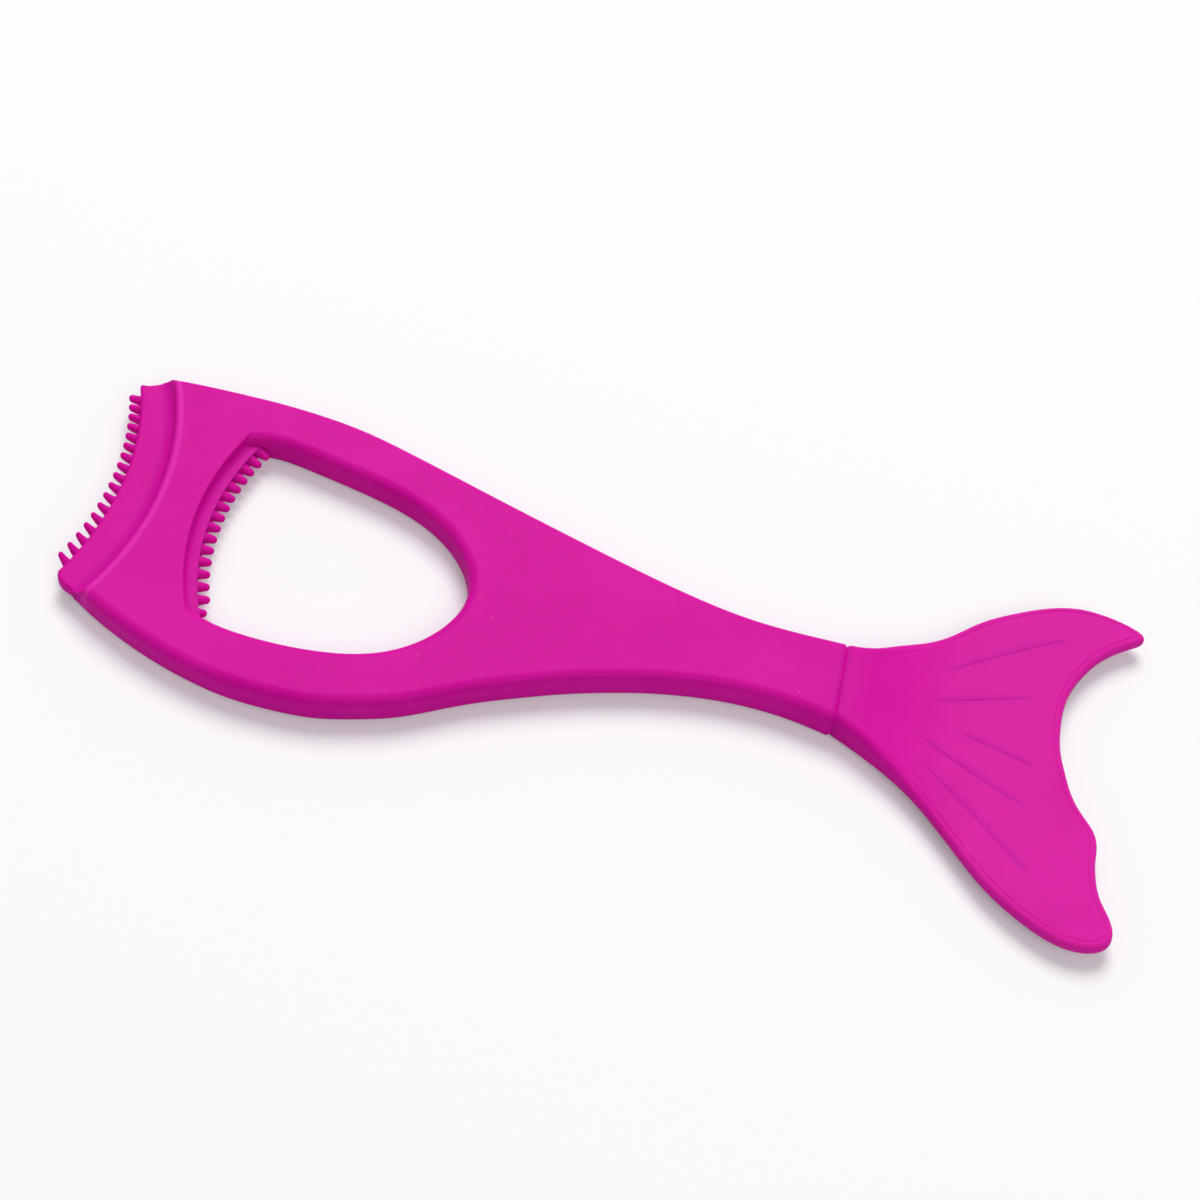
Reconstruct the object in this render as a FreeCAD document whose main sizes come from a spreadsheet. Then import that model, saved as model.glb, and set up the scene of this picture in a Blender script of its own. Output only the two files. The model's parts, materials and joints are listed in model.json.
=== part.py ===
import FreeCAD, Part
import math
import os

import Sketcher
from FreeCAD import Placement, Rotation, Vector

# A flat silicone eyeliner tool in the shape of a fish tail. +X runs along the tool from the
# combs to the fin, +Y across it, +Z up. The tool lies on its frame at z = 0, and the origin
# is under the middle of its overall box.

doc = FreeCAD.newDocument("eyeliner_tool")
sheet = doc.addObject("Spreadsheet::Sheet", "sizes")

# Lengths in millimetres, angles in degrees. "Far" is the +Y side, "near" the -Y side.
SIZES = [
    # the frame: lengths run from the groove at the wrist, widths from the wrist's middle line
    ("frame_thickness", 4.2),
    ("frame_round", 1.3),
    ("frame_length", 81.0),
    ("frame_far", 21.25),
    ("frame_near", 19.7),
    ("wrist_width", 11.3),
    # the ledge at the left end, and the thin blade below it
    ("ledge_radius", 39.0),
    ("ledge_middle", 4.2),
    ("blade_thickness", 1.6),
    ("blade_reach", 4.8),
    ("blade_span", 28.7),
    ("blade_radius", 40.0),
    ("blade_middle", 4.9),
    ("corner_clearance", 1.5),
    # the opening, with its toothed side across the bridge from the ledge
    ("bridge_width", 5.0),
    ("opening_length", 32.5),
    ("opening_far", 14.9),
    ("opening_near", 12.6),
    ("opening_radius", 33.0),
    ("opening_middle", 2.4),
    ("inner_blade_reach", 1.2),
    # the teeth of both combs
    ("tooth_count", 17),
    ("tooth_pitch", 1.57),
    ("tooth_root", 1.0),
    ("tooth_tip", 0.72),
    ("tooth_embed", 0.6),
    ("outer_tooth_length", 1.5),
    ("outer_tooth_rise", 27),
    ("inner_tooth_length", 1.4),
    ("inner_tooth_droop", 17),
    # the groove at the wrist
    ("groove_gap", 0.8),
    ("groove_depth", 0.4),
    # the fin
    ("fin_reach", 34.3),
    ("fin_far", 19.75),
    ("fin_near", 26.2),
    ("fin_thickness", 1.6),
    ("fin_thinning", 13.0),
    ("lip_width", 0.85),
    ("lip_start", 9.5),
    ("ray_width", 0.5),
    # how far a cutting shape runs past what it cuts
    ("overrun", 1.0),
]
for row, (alias, value) in enumerate(SIZES, start=1):
    sheet.set(f"A{row}", alias)
    sheet.set(f"B{row}", str(value))
    sheet.setAlias(f"B{row}", alias)
doc.recompute()


def size(alias):
    return float(sheet.get(alias))


thickness = size("frame_thickness")
wrist_half = size("wrist_width") / 2
gap_half = size("groove_gap") / 2
overrun = size("overrun")

# The box of the whole tool, from its own sizes: the tips of the end teeth, the tip of the far
# fluke, the far side of the frame and the near side of the near fluke.
tooth_tip_radius = size("tooth_tip") / 2
outer_rise = math.radians(size("outer_tooth_rise"))
outer_centre = -(size("frame_length") + size("blade_reach") + size("blade_radius"))
outer_tips = size("blade_radius") - size("outer_tooth_length") * math.cos(outer_rise)
outer_step = size("tooth_pitch") / outer_tips
inner_droop = math.radians(size("inner_tooth_droop"))
inner_edge = size("opening_radius") - size("inner_blade_reach")
inner_centre = -(size("frame_length") - size("bridge_width") - size("opening_radius"))
inner_tips = inner_edge - size("inner_tooth_length") * math.cos(inner_droop)
inner_step = size("tooth_pitch") / inner_tips
end_angle = (size("tooth_count") - 1) / 2 * outer_step
end_ball = (
    size("blade_radius")
    - (size("outer_tooth_length") - tooth_tip_radius) * math.cos(outer_rise)
)
comb_reach = -(outer_centre + end_ball * math.cos(end_angle) - tooth_tip_radius)
groove_x = (comb_reach - size("fin_reach")) / 2
axis_y = (size("fin_near") - size("frame_far")) / 2


def at(x, y, z=0):
    """A point given from the middle of the groove at the wrist."""
    return Vector(groove_x + x, axis_y + y, z)


def curve(points, start=None, end=None):
    """A smooth edge through the points, with given directions at its ends."""
    spline = Part.BSplineCurve()
    tangents = {}
    if start:
        tangents["InitialTangent"] = start
    if end:
        tangents["FinalTangent"] = end
    spline.interpolate(Points=points, **tangents)
    return spline.toShape()


def feature(name, shape):
    made = doc.addObject("Part::Feature", name)
    made.Shape = shape
    return made


def prism(name, base, along, length, low=None):
    """The base face drawn out along an axis, by sizes of the sheet."""
    made = doc.addObject("Part::Extrusion", name)
    made.Base = base
    made.DirMode = "Custom"
    made.Dir = along
    made.Solid = True
    made.setExpression("LengthFwd", length)
    if low:
        made.setExpression("Placement.Base.z", low)
    return made


def boolean(kind, name, base, tool):
    made = doc.addObject(kind, name)
    made.Base = base
    made.Tool = tool
    return made


def common(name, shapes):
    made = doc.addObject("Part::MultiCommon", name)
    made.Shapes = shapes
    return made


def cylinder(name, radius, x, y, height="sizes.frame_thickness"):
    made = doc.addObject("Part::Cylinder", name)
    made.Placement = Placement(at(x, y), Rotation())
    made.setExpression("Radius", radius)
    made.setExpression("Height", height)
    return made


UP = Vector(0, 0, 1)
LEFT = Vector(-1, 0, 0)
RIGHT = Vector(1, 0, 0)
DOWN_PAGE = Vector(0, -1, 0)
STEP = "(sizes.frame_thickness - sizes.blade_thickness) / 2"

# Outline of the frame, from the groove to past its corners at the ledge. Each point is a share
# of the frame's length and a share of its width on that side.
FAR_SIDE_SHARES = [
    (0.130, 0.278),
    (0.266, 0.380),
    (0.403, 0.532),
    (0.542, 0.697),
    (0.683, 0.868),
    (0.754, 0.941),
    (0.827, 0.982),
    (0.890, 0.998),
]
FAR_WIDEST_SHARE = 0.940
NEAR_SIDE_SHARES = [
    (0.095, 0.228),
    (0.152, 0.228),
    (0.209, 0.254),
    (0.265, 0.300),
    (0.321, 0.365),
    (0.376, 0.442),
    (0.430, 0.533),
    (0.483, 0.630),
    (0.533, 0.741),
    (0.584, 0.853),
    (0.637, 0.929),
    (0.692, 0.985),
]
NEAR_WIDEST_SHARE = 0.751
NEAR_TURN_SHARES = [(0.806, 0.990), (0.863, 0.949), (0.920, 0.883), (0.978, 0.797)]
# the corners where the blade begins, and the way from there to the ends of the front edge
FAR_CORNER_SHARES = (1.0475, 0.986)
FAR_END_SHARES = (1.120, 0.950)
NEAR_CORNER_SHARES = (1.0515, 0.604)
NEAR_END_SHARES = (1.120, 0.385)


def on_circle(centre_x, centre_y, radius, y, side):
    """The point of a circle at height y of the page, on its right or left side."""
    return at(centre_x + side * math.sqrt(radius**2 - (y - centre_y) ** 2), y)


def side_points(shares, width):
    length = size("frame_length")
    return [at(-along * length, out * width) for along, out in shares]


far_start = at(-gap_half, wrist_half)
near_start = at(-gap_half, -wrist_half)
far_widest = at(-FAR_WIDEST_SHARE * size("frame_length"), size("frame_far"))
near_widest = at(-NEAR_WIDEST_SHARE * size("frame_length"), -size("frame_near"))
far_corner = side_points([FAR_CORNER_SHARES], size("frame_far"))[0]
far_end = side_points([FAR_END_SHARES], size("frame_far"))[0]
near_corner = side_points([NEAR_CORNER_SHARES], -size("frame_near"))[0]
near_end = side_points([NEAR_END_SHARES], -size("frame_near"))[0]
blade_far = on_circle(
    outer_centre,
    size("blade_middle"),
    size("blade_radius"),
    size("blade_middle") + size("blade_span") / 2,
    1,
)
blade_near = on_circle(
    outer_centre,
    size("blade_middle"),
    size("blade_radius"),
    size("blade_middle") - size("blade_span") / 2,
    1,
)

# The corners stay at least their clearance outside the ends of the blade's front edge.
clearance = size("corner_clearance")
far_shift = max(0, blade_far.y + clearance - far_corner.y)
near_shift = min(0, blade_near.y - clearance - near_corner.y)
for point, shift in (
    (far_corner, far_shift),
    (far_end, far_shift),
    (near_corner, near_shift),
    (near_end, near_shift),
):
    point.y += shift

outline = [
    curve([far_start] + side_points(FAR_SIDE_SHARES, size("frame_far")) + [far_widest], LEFT, LEFT),
    curve([far_widest, far_corner, far_end], LEFT),
    Part.LineSegment(far_end, near_end).toShape(),
    curve(
        [near_end, near_corner]
        + side_points(NEAR_TURN_SHARES[::-1], -size("frame_near"))
        + [near_widest],
        None,
        RIGHT,
    ),
    curve(
        [near_widest]
        + side_points(NEAR_SIDE_SHARES[::-1], -size("frame_near"))
        + [near_start],
        RIGHT,
    ),
    Part.LineSegment(near_start, far_start).toShape(),
]
outline_face = feature("frame_outline", Part.Face(Part.Wire(outline)))
blank = prism("frame_blank", outline_face, UP, "sizes.frame_thickness")
doc.recompute()

# the largest height error of an edge that still counts as level
FLAT = thickness / 1000


def level_edges(solid, heights, keep):
    """Numbers of the solid's level edges at the given heights whose middle passes keep."""
    found = []
    for number, edge in enumerate(solid.Edges, start=1):
        box = edge.BoundBox
        middle = edge.valueAt(edge.getParameterByLength(edge.Length / 2))
        for height in heights:
            if abs(box.ZMin - height) + abs(box.ZMax - height) < FLAT and keep(middle):
                found.append(number)
    return found


def rounded(name, base, radius, numbers):
    made = doc.addObject("Part::Fillet", name)
    made.Base = base
    made.Edges = [(number, radius, radius) for number in numbers]
    return made


# The sides of the frame are rounded above and below.
frame_round = size("frame_round")
side_edges = level_edges(
    blank.Shape,
    (0, thickness),
    lambda middle: abs(middle.x - (groove_x - gap_half)) > FLAT
    and abs(middle.x - (far_end.x + near_end.x) / 2) > FLAT,
)
rounded_blank = rounded("frame_rounded", blank, frame_round, side_edges)

# Past the frame's corners the blade draws in along a short hollow, to the ends of its front
# edge. The points are shares of the way from the corner to that end, along and across.
FAR_HOLLOW_SHARES = [(0.34, 0.55), (0.66, 0.93)]
NEAR_HOLLOW_SHARES = [(0.45, 0.33), (0.93, 0.63)]


def corner_cut(name, corner, end, shares, side):
    """What lies outside the hollow between a corner of the frame and the blade's front edge."""
    way = [corner]
    for along, across in shares:
        way.append(corner + Vector((end.x - corner.x) * along, (end.y - corner.y) * across, 0))
    way.append(end)
    left = end + LEFT * (2 * overrun)
    out_left = Vector(left.x, corner.y + side * overrun, 0)
    out_right = Vector(corner.x, corner.y + side * overrun, 0)
    edges = [curve(way)]
    for begin, finish in ((end, left), (left, out_left), (out_left, out_right), (out_right, corner)):
        edges.append(Part.LineSegment(begin, finish).toShape())
    face = feature(name + "_outline", Part.Face(Part.Wire(edges)))
    return prism(name, face, UP, "sizes.frame_thickness")


far_cut = corner_cut("far_corner_cut", far_corner, blade_far, FAR_HOLLOW_SHARES, 1)
near_cut = corner_cut("near_corner_cut", near_corner, blade_near, NEAR_HOLLOW_SHARES, -1)

# The ledge: a round cut down to the blade, with a cove of the step's own height.
ledge_centre = -(size("frame_length") + size("ledge_radius"))
ledge_cut = cylinder(
    "ledge_cut", f"sizes.ledge_radius - {STEP}", ledge_centre, size("ledge_middle")
)
coves = []
for name, height in (("cove_above", "sizes.frame_thickness"), ("cove_below", "0")):
    cove = doc.addObject("Part::Torus", name)
    cove.Placement = Placement(at(ledge_centre, size("ledge_middle")), Rotation())
    cove.setExpression("Radius1", f"sizes.ledge_radius - {STEP}")
    cove.setExpression("Radius2", STEP)
    cove.setExpression("Placement.Base.z", height)
    coves.append(cove)
ledge_tools = doc.addObject("Part::MultiFuse", "ledge_tools")
ledge_tools.Shapes = [ledge_cut] + coves + [far_cut, near_cut]

# The opening: one smooth wall rounded above and below, stopped short at the left by a round
# toothed side with a crisp edge. Its outline runs on past the toothed side, to be cut off.
opening_left = -(size("frame_length") - size("bridge_width"))
# Each point is a share of the opening's length and of its width on that side, once round it.
OPENING_SHARES = [
    (-0.046, 0.725),
    (0.123, 0.980),
    (0.308, 0.953),
    (0.523, 0.852),
    (0.738, 0.698),
    (0.908, 0.430),
    (1.000, 0.000),
    (0.929, -0.492),
    (0.760, -0.841),
    (0.554, -0.976),
    (0.338, -0.992),
    (0.123, -0.880),
    (-0.049, -0.476),
    (-0.123, 0.161),
]
opening_loop = Part.BSplineCurve()
opening_loop.interpolate(
    Points=[
        at(
            opening_left + along * size("opening_length"),
            out * (size("opening_far") if out > 0 else size("opening_near")),
        )
        for along, out in OPENING_SHARES
    ],
    PeriodicFlag=True,
)
opening_face = feature("opening_outline", Part.Face(Part.Wire([opening_loop.toShape()])))
opening_hole = prism("opening_hole", opening_face, UP, "sizes.frame_thickness")
opening_block = doc.addObject("Part::Box", "opening_block")
opening_block.setExpression("Length", "sizes.frame_length")
opening_block.setExpression("Width", "sizes.frame_far + sizes.frame_near")
opening_block.setExpression("Height", "sizes.frame_thickness")
opening_block.Placement = Placement(at(-size("frame_length"), -size("frame_near")), Rotation())
block_with_hole = boolean("Part::Cut", "block_with_hole", opening_block, opening_hole)
doc.recompute()
hole_box = opening_hole.Shape.BoundBox
hole_edges = level_edges(
    block_with_hole.Shape,
    (0, thickness),
    lambda middle: hole_box.XMin - FLAT < middle.x < hole_box.XMax + FLAT
    and hole_box.YMin - FLAT < middle.y < hole_box.YMax + FLAT,
)
rounded_block = rounded("rounded_block", block_with_hole, frame_round, hole_edges)
rounded_hole = boolean("Part::Cut", "rounded_hole", opening_block, rounded_block)
toothed_side = cylinder(
    "toothed_side", "sizes.opening_radius", inner_centre, size("opening_middle")
)
opening_cut = common("opening_cut", [rounded_hole, toothed_side])
ledged = boolean("Part::Cut", "frame_ledged", rounded_blank, ledge_tools)
handle_frame = boolean("Part::Cut", "handle_frame", ledged, opening_cut)

# The outer blade: what the outline holds inside the ledge's cut, thinner than the frame, with
# its front edge cut round.
blade_slab = prism("outer_blade_slab", outline_face, UP, "sizes.blade_thickness", STEP)
blade_in_ledge = common("outer_blade_in_ledge", [blade_slab, ledge_cut])
front_room = cylinder(
    "outer_blade_room", "sizes.blade_radius", outer_centre, size("blade_middle")
)
blade_tools = doc.addObject("Part::MultiFuse", "outer_blade_tools")
blade_tools.Shapes = [front_room, far_cut, near_cut]
outer_blade = boolean("Part::Cut", "outer_comb_blade", blade_in_ledge, blade_tools)

# The inner blade stands on the toothed side of the opening.
inner_slab = prism("inner_blade_slab", opening_face, UP, "sizes.blade_thickness", STEP)
inner_whole = common("inner_blade_whole", [inner_slab, toothed_side])
inner_room = cylinder(
    "inner_blade_room",
    "sizes.opening_radius - sizes.inner_blade_reach",
    inner_centre,
    size("opening_middle"),
)
inner_blade = boolean("Part::Cut", "inner_comb_blade", inner_whole, inner_room)


def comb(name, room, centre_x, centre_y, root, turn, length, step_angle):
    """A row of round-tipped teeth about the comb's centre, held to the room before the blade.

    root is where a tooth's axis meets the blade's edge, as an expression of the distance from
    the centre, turn is the axis's direction in the upright plane, in degrees.
    """
    body = doc.addObject("PartDesign::Body", name + "_row")
    half_sweep = (size("tooth_count") - 1) / 2 * step_angle
    body.Placement = Placement(at(centre_x, centre_y), Rotation(UP, -math.degrees(half_sweep)))
    upright = next(f for f in body.Origin.OriginFeatures if f.Role == "XZ_Plane")
    axle = next(f for f in body.Origin.OriginFeatures if f.Role == "Z_Axis")
    sketch = body.newObject("Sketcher::SketchObject", name + "_profile")
    sketch.AttachmentSupport = [(upright, "")]
    sketch.MapMode = "FlatFace"
    sketch.AttachmentOffset = Placement(Vector(0, 0, 0), Rotation(UP, turn))
    sketch.setExpression("AttachmentOffset.Base.x", root)
    sketch.setExpression("AttachmentOffset.Base.y", "sizes.frame_thickness / 2")
    embed = size("tooth_embed")
    reach = size(length)
    root_radius = size("tooth_root") / 2
    tip_radius = size("tooth_tip") / 2
    back = Vector(-embed, 0, 0)
    shoulder = Vector(-embed, root_radius, 0)
    neck = Vector(reach - tip_radius, tip_radius, 0)
    tip = Vector(reach, 0, 0)
    ball = Vector(reach - tip_radius, 0, 0)
    sketch.addGeometry(Part.LineSegment(back, shoulder))
    sketch.addGeometry(Part.LineSegment(shoulder, neck))
    sketch.addGeometry(Part.ArcOfCircle(Part.Circle(ball, UP, tip_radius), 0, math.pi / 2))
    sketch.addGeometry(Part.LineSegment(tip, back))
    fix = Sketcher.Constraint
    sketch.addConstraint(
        [
            fix("Coincident", 0, 2, 1, 1),
            fix("Coincident", 1, 2, 2, 2),
            fix("Coincident", 2, 1, 3, 1),
            fix("Coincident", 3, 2, 0, 1),
            fix("Vertical", 0),
            fix("PointOnObject", 0, 1, -1),
            fix("PointOnObject", 2, 1, -1),
            fix("PointOnObject", 2, 3, -1),
            fix("Vertical", 2, 3, 2, 2),
        ]
    )
    bound = (
        (fix("DistanceX", 0, 1, -1, 1, embed), "sizes.tooth_embed"),
        (fix("DistanceY", 0, 1, 0, 2, root_radius), "sizes.tooth_root / 2"),
        (fix("Radius", 2, tip_radius), "sizes.tooth_tip / 2"),
        (fix("DistanceX", -1, 1, 2, 1, reach), f"sizes.{length}"),
    )
    for constraint, expression in bound:
        number = sketch.addConstraint(constraint)
        sketch.setExpression(f"Constraints[{number}]", expression)
    turned = body.newObject("PartDesign::Revolution", name + "_tooth")
    turned.Profile = sketch
    turned.ReferenceAxis = (sketch, ["H_Axis"])
    turned.Angle = 360
    doc.recompute()
    row = body.newObject("PartDesign::PolarPattern", name + "_pattern")
    row.Originals = [turned]
    row.Axis = (axle, [""])
    row.Angle = math.degrees(2 * half_sweep)
    row.setExpression("Occurrences", "sizes.tooth_count")
    body.Tip = row
    doc.recompute()
    return common(name, [body] + room)


outer_teeth = comb(
    "outer_comb_teeth",
    [front_room],
    outer_centre,
    size("blade_middle"),
    "sizes.blade_radius",
    180 - size("outer_tooth_rise"),
    "outer_tooth_length",
    outer_step,
)
inner_teeth = comb(
    "inner_comb_teeth",
    [inner_room, opening_hole],
    inner_centre,
    size("opening_middle"),
    "sizes.inner_blade_reach - sizes.opening_radius",
    -size("inner_tooth_droop"),
    "inner_tooth_length",
    inner_step,
)


def rounded_rectangle(x, half_width, half_height, radius):
    """A wire across the tool at x, about the frame's middle height."""
    middle = thickness / 2
    wide = half_width - radius
    high = half_height - radius
    diagonal = radius * math.sqrt(1 / 2)
    edges = []
    for side_y, side_z in ((1, 1), (-1, 1), (-1, -1), (1, -1)):
        start = at(x, side_y * wide, middle + side_z * half_height)
        end = at(x, side_y * half_width, middle + side_z * high)
        bend = at(x, side_y * (wide + diagonal), middle + side_z * (high + diagonal))
        edges.append(Part.Arc(start, bend, end).toShape())
    for side_z in (1, -1):
        top_far = at(x, wide, middle + side_z * half_height)
        top_near = at(x, -wide, middle + side_z * half_height)
        edges.append(Part.LineSegment(top_far, top_near).toShape())
    for side_y in (1, -1):
        upper = at(x, side_y * half_width, middle + high)
        lower = at(x, side_y * half_width, middle - high)
        edges.append(Part.LineSegment(upper, lower).toShape())
    return Part.Wire(Part.__sortEdges__(edges))


# The web that is left inside the groove at the wrist.
depth = size("groove_depth")
neck_section = rounded_rectangle(
    -gap_half, wrist_half - depth, thickness / 2 - depth, frame_round - depth
)
neck = prism("wrist_neck", feature("neck_section", Part.Face(neck_section)), RIGHT, "sizes.groove_gap")

# Outline of the fin, from the far side of the groove round both flukes. Each point is a share
# of the fin's reach and a share of its width on that side.
FLUKE_FAR_SHARES = [
    (0.090, 0.312),
    (0.172, 0.381),
    (0.257, 0.456),
    (0.347, 0.567),
    (0.437, 0.710),
    (0.545, 0.840),
    (0.650, 0.938),
]
FLUKE_TOP_SHARES = (0.794, 1.0)
FLUKE_SHOULDER_SHARES = [(0.905, 0.973), (0.968, 0.932)]
FLUKE_TIP_SHARES = (1.0, 0.876)
CROTCH_FAR_SHARES = [(0.972, 0.812), (0.918, 0.744), (0.852, 0.630), (0.796, 0.476), (0.761, 0.324)]
CROTCH_SHARES = (0.746, 0.100)
CROTCH_NEAR_SHARES = [
    (0.756, 0.070),
    (0.777, 0.166),
    (0.805, 0.267),
    (0.850, 0.359),
    (0.886, 0.422),
    (0.901, 0.492),
    (0.901, 0.570),
    (0.907, 0.650),
    (0.924, 0.735),
    (0.955, 0.810),
    (0.974, 0.880),
    (0.966, 0.945),
    (0.930, 0.983),
]
FLUKE_BOTTOM_SHARES = (0.857, 1.0)
FLUKE_NEAR_SHARES = [
    (0.764, 0.986),
    (0.662, 0.925),
    (0.548, 0.820),
    (0.443, 0.676),
    (0.338, 0.518),
    (0.219, 0.382),
    (0.105, 0.282),
]


def fin_points(shares, width):
    reach = size("fin_reach")
    return [at(along * reach, out * width) for along, out in shares]


fin_far = size("fin_far")
fin_near = size("fin_near")
fin_far_start = at(gap_half, wrist_half)
fin_near_start = at(gap_half, -wrist_half)
fluke_top = fin_points([FLUKE_TOP_SHARES], fin_far)[0]
fluke_tip = fin_points([FLUKE_TIP_SHARES], fin_far)[0]
crotch = fin_points([CROTCH_SHARES], fin_far)[0]
fluke_bottom = fin_points([FLUKE_BOTTOM_SHARES], -fin_near)[0]
fin_outline = [
    curve([fin_far_start] + fin_points(FLUKE_FAR_SHARES, fin_far) + [fluke_top], None, RIGHT),
    curve([fluke_top] + fin_points(FLUKE_SHOULDER_SHARES, fin_far) + [fluke_tip], RIGHT, DOWN_PAGE),
    curve([fluke_tip] + fin_points(CROTCH_FAR_SHARES, fin_far) + [crotch], DOWN_PAGE, DOWN_PAGE),
    curve([crotch] + fin_points(CROTCH_NEAR_SHARES, -fin_near) + [fluke_bottom], DOWN_PAGE, LEFT),
    curve([fluke_bottom] + fin_points(FLUKE_NEAR_SHARES, -fin_near) + [fin_near_start], LEFT),
    Part.LineSegment(fin_near_start, fin_far_start).toShape(),
]
fin_face = feature("fin_outline", Part.Face(Part.Wire(fin_outline)))
fin_blank = prism("fin_blank", fin_face, UP, "sizes.frame_thickness")

# Seen from the side, the fin thins smoothly from the wrist's thickness to its own.
plate_half = size("fin_thickness") / 2
thinning = size("fin_thinning")
fin_end = size("fin_reach") + overrun


def side_curve(side):
    middle = thickness / 2
    high = middle + side * middle
    low = middle + side * plate_half
    slope = Part.BezierCurve()
    slope.setPoles(
        [
            at(gap_half, 0, high),
            at(thinning / 3, 0, high),
            at(2 * thinning / 3, 0, low),
            at(thinning, 0, low),
        ]
    )
    return slope.toShape(), Part.LineSegment(at(thinning, 0, low), at(fin_end, 0, low)).toShape()


upper_slope, upper_flat = side_curve(1)
lower_slope, lower_flat = side_curve(-1)
side_wire = Part.Wire(
    [
        upper_slope,
        upper_flat,
        Part.LineSegment(upper_flat.lastVertex().Point, lower_flat.lastVertex().Point).toShape(),
        lower_flat,
        lower_slope,
        Part.LineSegment(at(gap_half, 0), at(gap_half, 0, thickness)).toShape(),
    ]
)
fin_side = feature("fin_side", Part.Face(side_wire))
fin_thick = prism("fin_thick", fin_side, Vector(0, 1, 0), "sizes.fin_far + sizes.overrun")
fin_thick.setExpression("LengthRev", "sizes.fin_near + sizes.overrun")

# Up to where it is thin, the fin's sides are rounded like the frame's.
root_zone = doc.addObject("Part::Box", "root_zone")
root_zone.Placement = Placement(at(0, -fin_near), Rotation())
root_zone.setExpression("Length", "sizes.fin_thinning")
root_zone.setExpression("Width", "sizes.fin_near + sizes.fin_far")
root_zone.setExpression("Height", "sizes.frame_thickness")
root_blank = common("root_blank", [fin_blank, root_zone])
doc.recompute()
root_edges = level_edges(
    root_blank.Shape,
    (0, thickness),
    lambda middle: groove_x + gap_half + FLAT < middle.x < groove_x + thinning - FLAT,
)
fin_root = rounded("fin_root", root_blank, frame_round, root_edges)
fin_rest = boolean("Part::Cut", "fin_rest", fin_blank, root_zone)
fin_joined = boolean("Part::Fuse", "fin_joined", fin_root, fin_rest)
fin_shape = boolean("Part::Common", "fin_shape", fin_joined, fin_thick)

# The panel inside the lip, with the wrist's end of the fin. Its outline lies the lip's width
# inside the fin's, from one side of the wrist round both flukes to the other.
INSET_STEPS = 9


def inset_points(edge, distance):
    """Points along an edge, moved to its right by the distance."""
    moved = []
    for index in range(INSET_STEPS):
        along = edge.getParameterByLength(edge.Length * index / INSET_STEPS)
        heading = edge.tangentAt(along)
        moved.append(edge.valueAt(along) + Vector(heading.y, -heading.x, 0) * distance)
    return moved


lip_width = size("lip_width")
inset_way = []
for edge in fin_outline[:-1]:
    inset_way += inset_points(edge, lip_width)
inset_way.append(at(gap_half, lip_width - wrist_half))
panel_outline = feature(
    "panel_outline",
    Part.Face(
        Part.Wire(
            [
                curve(inset_way),
                Part.LineSegment(inset_way[-1], inset_way[0]).toShape(),
            ]
        )
    ),
)
panel = prism("panel", panel_outline, UP, "sizes.frame_thickness")
root_block = doc.addObject("Part::Box", "root_block")
root_block.Placement = Placement(at(0, -fin_near), Rotation())
root_block.setExpression("Length", "sizes.lip_start")
root_block.setExpression("Width", "sizes.fin_near + sizes.fin_far")
root_block.setExpression("Height", "sizes.frame_thickness")
panel_room = boolean("Part::Fuse", "panel_room", panel, root_block)
lip = boolean("Part::Cut", "fin_edge_lip", fin_shape, panel_room)
tail_fin = common("tail_fin", [fin_shape, panel_room])

# The five rays: low slender leaves that stand on the panel's upper face. Each row gives the
# two ends, as shares of the fin's reach and of its far width.
RAY_SHARES = [
    ((0.344, 0.294), (0.743, 0.724)),
    ((0.321, 0.061), (0.636, 0.238)),
    ((0.420, -0.116), (0.662, -0.228)),
    ((0.303, -0.228), (0.653, -0.511)),
    ((0.309, -0.390), (0.688, -0.937)),
]
ray_half = size("ray_width") / 2
panel_top = thickness / 2 + plate_half


def leaf(start, end):
    """The outline of one ray, between two arcs that meet at its ends."""
    along = (end - start).normalize()
    swell = Vector(-along.y, along.x, 0) * ray_half
    middle = (start + end) * (1 / 2)
    near_side = Part.Arc(start, middle - swell, end).toShape()
    far_side = Part.Arc(end, middle + swell, start).toShape()
    return Part.Face(Part.Wire([near_side, far_side]))


leaves = []
for (start_along, start_out), (end_along, end_out) in RAY_SHARES:
    start = fin_points([(start_along, start_out)], fin_far)[0] + UP * panel_top
    end = fin_points([(end_along, end_out)], fin_far)[0] + UP * panel_top
    leaves.append(leaf(start, end))
ray_outlines = feature("ray_outlines", Part.makeCompound(leaves))
ray_bars = prism("ray_bars", ray_outlines, UP, "sizes.ray_width / 2")
fin_rays = boolean("Part::Cut", "fin_rays", ray_bars, fin_thick)
doc.recompute()

PIECES = [
    handle_frame,
    outer_blade,
    outer_teeth,
    inner_blade,
    inner_teeth,
    neck,
    tail_fin,
    lip,
    fin_rays,
]
for made in doc.Objects:
    if "Invalid" in made.State or "Error" in made.State:
        raise RuntimeError(f"{made.Name} did not build: {made.State}")
for piece in PIECES:
    if piece.Shape.isNull() or not piece.Shape.isValid() or not piece.Shape.Solids:
        raise RuntimeError(f"{piece.Label} is not a sound solid")

os.makedirs("parts", exist_ok=True)
for piece in PIECES:
    piece.Shape.exportStep(os.path.join("parts", piece.Label + ".step"))
    print(piece.Label, len(piece.Shape.Solids), "solids,", round(piece.Shape.Volume, 2), "mm3")
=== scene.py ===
import json
import math

import bmesh
import bpy
import numpy as np
from mathutils import Matrix, Vector


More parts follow.
